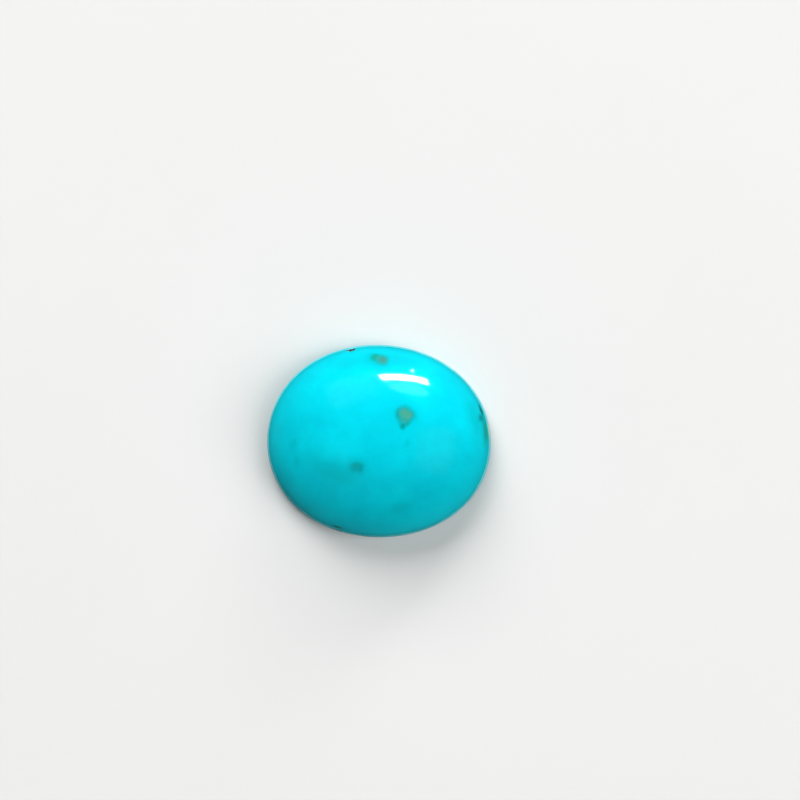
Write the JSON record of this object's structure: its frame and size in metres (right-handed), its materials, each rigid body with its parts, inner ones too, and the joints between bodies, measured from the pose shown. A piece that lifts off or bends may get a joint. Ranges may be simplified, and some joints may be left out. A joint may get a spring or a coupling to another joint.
{
  "type": "turquoise cabochon",
  "caption": "Polished oval turquoise cabochon with a high domed face, specks of olive-brown matrix, a narrow chipped girdle and a flat ground back to rest or set it on.",
  "frame": {"origin": "middle of the flat back", "axes": "+X along the oval's length, +Y across its width, +Z out of the back towards the crown of the dome"},
  "size_m": [0.0176, 0.015, 0.006],
  "materials": {
    "turquoise": "polished"
  },
  "bodies": {
    "root": {"cabochon": "turquoise"}
  },
  "joints": []
}
